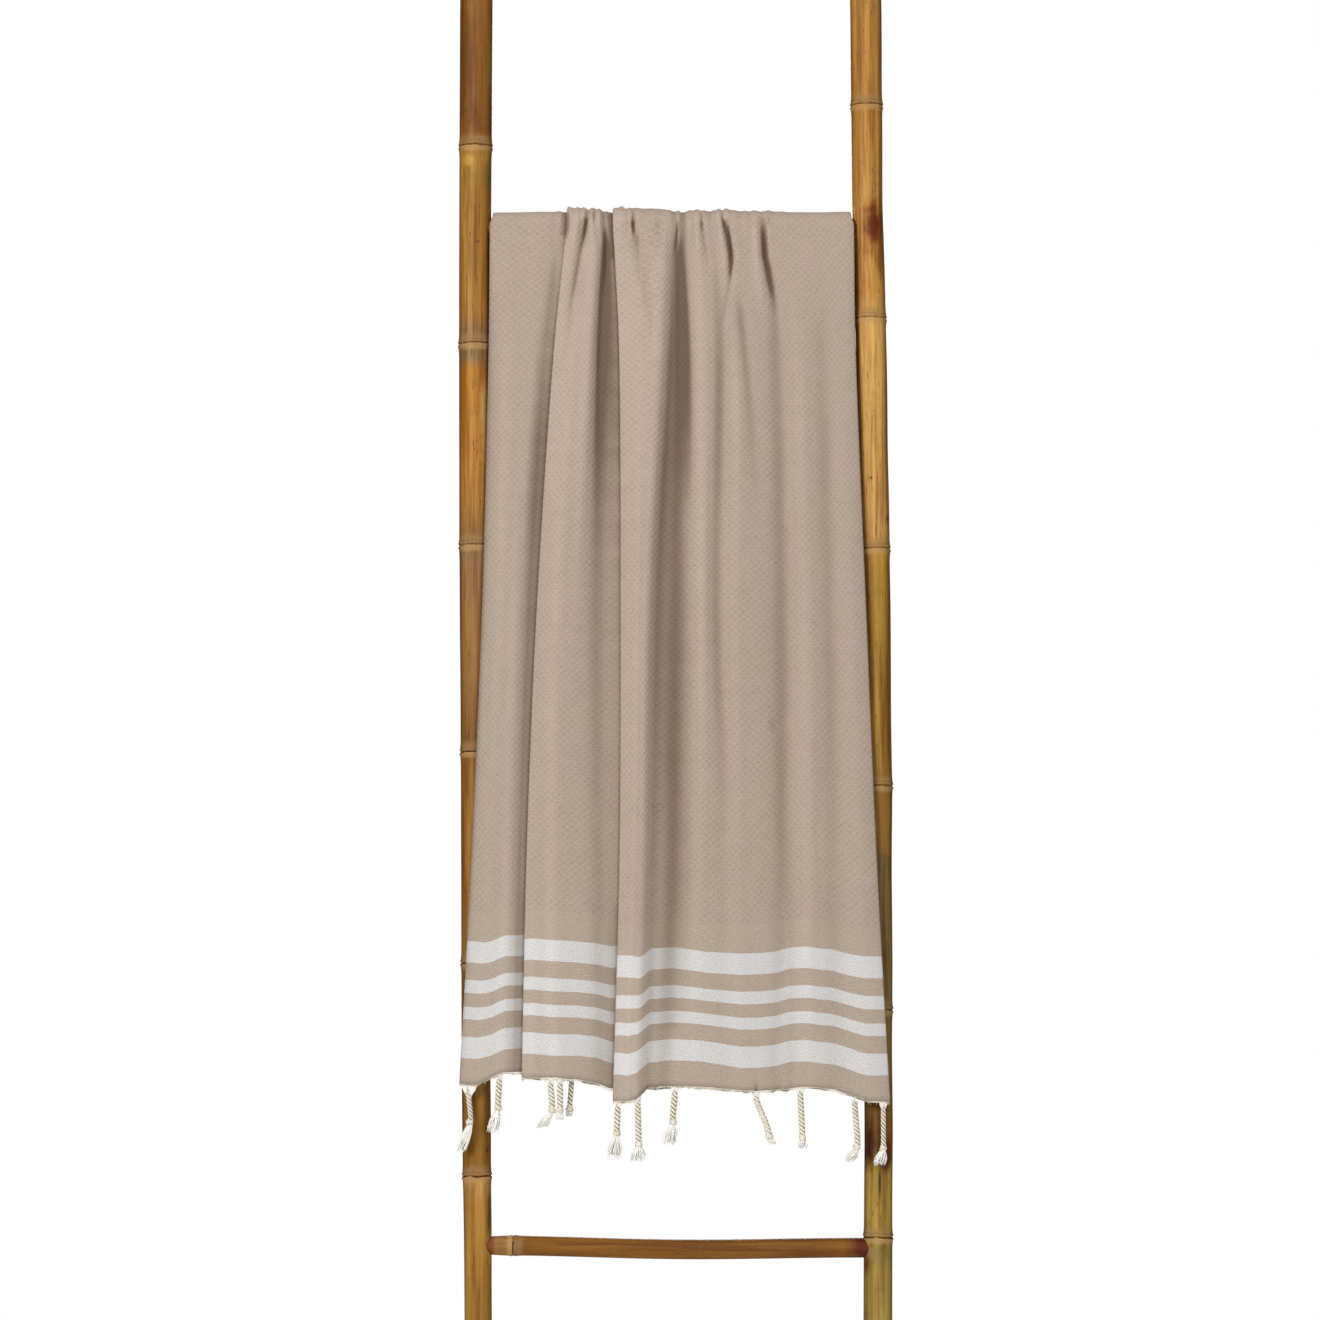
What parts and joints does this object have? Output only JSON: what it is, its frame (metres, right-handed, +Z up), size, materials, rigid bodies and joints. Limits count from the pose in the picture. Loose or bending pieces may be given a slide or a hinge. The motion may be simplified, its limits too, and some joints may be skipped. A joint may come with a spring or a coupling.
{
  "type": "hammam towel on bamboo ladder",
  "caption": "Beige honeycomb-weave hammam towel with white stripes and a twisted fringe, folded over the top rung of a leaning bamboo towel ladder.",
  "frame": {"origin": "on the floor, under the middle of the bounding box of the leaning ladder with its towel", "axes": "+Z up, -Y towards the viewer, who sees the towel's front drop face on, +Y towards the wall the ladder leans on, +X to the viewer's right along the rungs"},
  "size_m": [0.4882, 0.1843, 1.7469],
  "materials": {
    "beige_cotton": "honeycomb-weave cotton, matte, with four white stripes at each end",
    "cream_yarn": "loose twisted cotton warp ends, matte",
    "bamboo_pole": "golden brown bamboo skin, satin, with darker knots",
    "bamboo_rung": "darker heat-treated bamboo, satin"
  },
  "bodies": {
    "root": {"towel": "beige_cotton", "fringe_front": "cream_yarn", "fringe_back": "cream_yarn", "pole_left": "bamboo_pole", "pole_right": "bamboo_pole", "rung_top": "bamboo_rung", "rung_third": "bamboo_rung", "rung_second": "bamboo_rung", "rung_lowest": "bamboo_rung"}
  },
  "joints": []
}
